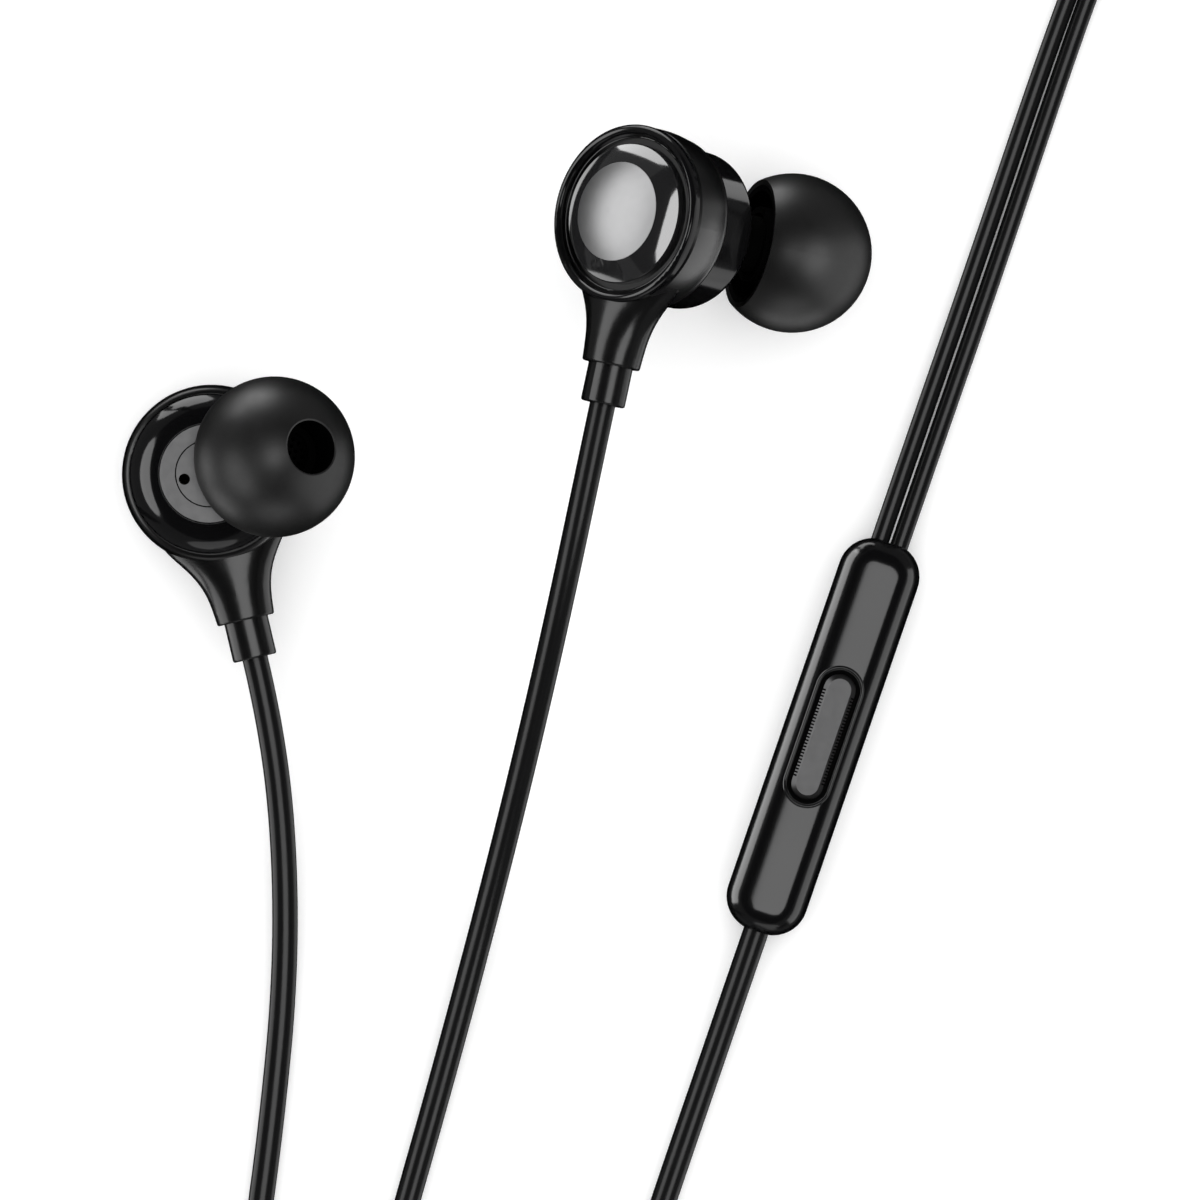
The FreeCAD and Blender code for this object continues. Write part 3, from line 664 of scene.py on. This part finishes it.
def add_panel(name, polar, azimuth, radiance, shape="RECTANGLE", only_on=None, distance=1.3):
    """A soft box that faces the middle of the view, between angles in degrees.

    polar are the angles from straight up, and azimuth the angles round from +X.
    """
    middle = math.radians(sum(polar) / 2)
    turn = math.radians(sum(azimuth) / 2)
    high = 2 * distance * math.tan(math.radians(polar[1] - polar[0]) / 2)
    wide = 2 * distance * math.sin(middle) * math.tan(math.radians(azimuth[1] - azimuth[0]) / 2)
    panel = make_panel(name, (wide, high), radiance, shape, only_on)
    away = Vector((math.sin(middle) * math.cos(turn), math.sin(middle) * math.sin(turn), math.cos(middle)))
    panel.location = mm(*VIEW_CENTRE, 0) + away * distance
    panel.rotation_euler = away.to_track_quat("Z", "Y").to_euler()


def hang_panel(name, x_span, y_span, radiance, only_on, turn=0.0, height=1.3):
    """A level soft box at a height over the middle of the view, with its spans in metres."""
    middle = Vector((sum(x_span) / 2, sum(y_span) / 2, height))
    panel = make_panel(name, (x_span[1] - x_span[0], y_span[1] - y_span[0]), radiance, "RECTANGLE", only_on)
    panel.location = mm(*VIEW_CENTRE, 0) + Matrix.Rotation(turn, 3, "Z") @ middle
    panel.rotation_euler.z = turn


DOME_R = 9.7                    # the right cap is part of a sphere with this radius
LENS_EDGE = 5.42                # radius of the cap's edge
PAST_EDGE = 0.1                 # how far a crescent reaches over that edge
HORN_POWER = 0.7                # below 1 for blunter ends


def mirrored(angle, radius):
    """Where the right cap mirrors the camera's ray, at an angle and a radius in mm round its middle."""
    front = EARBUDS["right"][1]
    across = front.cross(Vector((0, 1, 0))).normalized()
    upward = across.cross(front)
    round_part = across * math.cos(angle) + upward * math.sin(angle)
    normal = round_part * (radius / DOME_R) - front * math.sqrt(1 - (radius / DOME_R) ** 2)
    return 2 * normal.z * normal - Vector((0, 0, 1))


def glow(name, radiance):
    """A material that only shines."""
    made = bpy.data.materials.new(name)
    made.use_nodes = True
    tree = made.node_tree
    emission = tree.nodes.new("ShaderNodeEmission")
    emission.inputs["Strength"].default_value = radiance
    tree.links.new(emission.outputs["Emission"], tree.nodes["Material Output"].inputs["Surface"])
    return made


def crescent(name, only_on, turns, depth, radiance, distance=1.3, steps=16):
    """A crescent-shaped soft box that the right cap's rim mirrors to the camera.

    turns are the angles round the cap, from the picture's right, between which the crescent
    runs, and depth is how far it reaches in from the rim, in mm.
    """
    middle = EARBUDS["right"][0] * MM
    inner, outer = [], []
    for step in range(steps + 1):
        share = step / steps
        angle = math.radians(turns[0] + share * (turns[1] - turns[0]))
        reach = depth * math.sin(math.pi * share) ** HORN_POWER
        outer.append(middle + mirrored(angle, LENS_EDGE + PAST_EDGE) * distance)
        inner.append(middle + mirrored(angle, LENS_EDGE - reach) * distance)
    count = steps + 1
    faces = [(i, i + 1, count + i + 1, count + i) for i in range(steps)]
    mesh = bpy.data.meshes.new(name)
    mesh.from_pydata(inner + outer, [], faces)
    mesh.materials.append(glow(name, radiance))
    panel = add_object(name, mesh)
    panel.visible_camera = False
    panel.visible_diffuse = False
    panel.visible_shadow = False
    link_receivers(panel, only_on)
    panel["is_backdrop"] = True


def add_world():
    """Even white light that reflections don't show."""
    world = bpy.data.worlds.new("studio")
    bpy.context.scene.world = world
    world.use_nodes = True
    background = world.node_tree.nodes["Background"]
    background.inputs["Color"].default_value = (1, 1, 1, 1)
    background.inputs["Strength"].default_value = 1.3
    world.cycles_visibility.glossy = False


add_table()
lens = named("right_cap_lens")
disc = named("right_cap_disc")
remote = [cover, bead] + named("remote_back_shell")
button = named("remote_button")
soft = cords + [strap] + named("stem_flare", "cord_collar", "splitter_front", "splitter_back", "plug_grip")
special = lens + disc + remote + button + soft
others = [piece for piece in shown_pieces() if piece not in special]
faced = [piece for piece in others if piece not in named("right_front_housing")]
left_tip = named("left_ear_tip")
right_tip = named("right_ear_tip")
untipped = [piece for piece in others if piece not in left_tip + right_tip]

hang_panel("overhead", (-0.18, 0.18), (-0.18, 0.18), 2.8, others)
add_panel("left_box", (42, 75), (148, 217), 3.4, "ELLIPSE", untipped)
add_panel("left_tip_side", (42, 75), (172, 240), 1.5, "ELLIPSE", left_tip)
add_panel("left_tip_rim", (100, 128), (174, 234), 1.2, "RECTANGLE", left_tip)
hang_panel("left_tip_over", (-0.42, 0.22), (-0.28, 0.42), 1.5, left_tip)
add_panel("right_tip_spot", (16, 52), (-50, 20), 2.0, "ELLIPSE", right_tip)
add_panel("right_tip_rim", (104, 130), (245, 300), 1.1, "RECTANGLE", right_tip)
add_panel("top_box", (78, 115), (90, 135), 3.0, "ELLIPSE", others + remote)
add_panel("right_box", (38, 128), (-54, 16), 0.7, "RECTANGLE", faced)
add_panel("front_box", (70, 100), (250, 290), 0.8, "ELLIPSE", others + remote + soft)
hang_panel("remote_over", (-0.38, 0.62), (-0.4, 0.14), 3.3, remote, REMOTE_TURN)
add_panel("remote_left", (78, 115), (130, 190), 4.6, "RECTANGLE", remote)
add_panel("remote_right", (74, 106), (-49, 11), 1.6, "RECTANGLE", remote)
hang_panel("button_over", (-0.4, 0.6), (-0.5, 0.5), 1.0, button, REMOTE_TURN)
add_panel("button_left", (75, 105), (131, 191), 1.0, "RECTANGLE", button)
stem = [right_cord] + named("right_stem_flare", "right_cord_collar")
other_soft = [piece for piece in soft if piece not in stem]
hang_panel("soft_over", (-0.3, 0.75), (-0.75, 0.75), 3.1, other_soft)
add_panel("soft_left", (72, 125), (145, 225), 2.0, "RECTANGLE", other_soft)
hang_panel("stem_over", (0.2, 1.05), (-0.75, 0.75), 3.1, stem)
add_panel("stem_left", (41, 74), (145, 215), 2.9, "RECTANGLE", stem)
add_panel("soft_right", (92, 140), (-35, 35), 1.0, "RECTANGLE", soft)
add_panel("disc_box", (30, 94), (116, 210), 2.2, "ELLIPSE", disc)
crescent("lens_right", lens, (-51, 24), 0.88, 6.5)
crescent("lens_top", lens, (41, 103), 0.65, 5.5)
crescent("lens_left", lens, (119, 202), 0.6, 1.6)
crescent("lens_low", lens, (222, 286), 0.6, 2.2)
drums = named("rear_housing")
hang_panel("drum_over", (0.2, 0.9), (0.2, 0.8), 0.5, drums)
add_panel("drum_right", (84, 124), (-62, -2), 1.5, "ELLIPSE", drums)
right_front = named("right_front_housing")
add_panel("side_high", (109, 131), (22, 43), 1.5, "ELLIPSE", right_front)
add_panel("side_low", (104, 124), (-62, -36), 0.9, "ELLIPSE", right_front)
for azimuth in (45, 135, 225, 315):
    add_panel(f"room_{azimuth}", (60, 120), (azimuth - 45, azimuth + 45), 0.12)
add_world()
bpy.context.scene.view_settings.view_transform = "Standard"

bpy.context.view_layer.update()
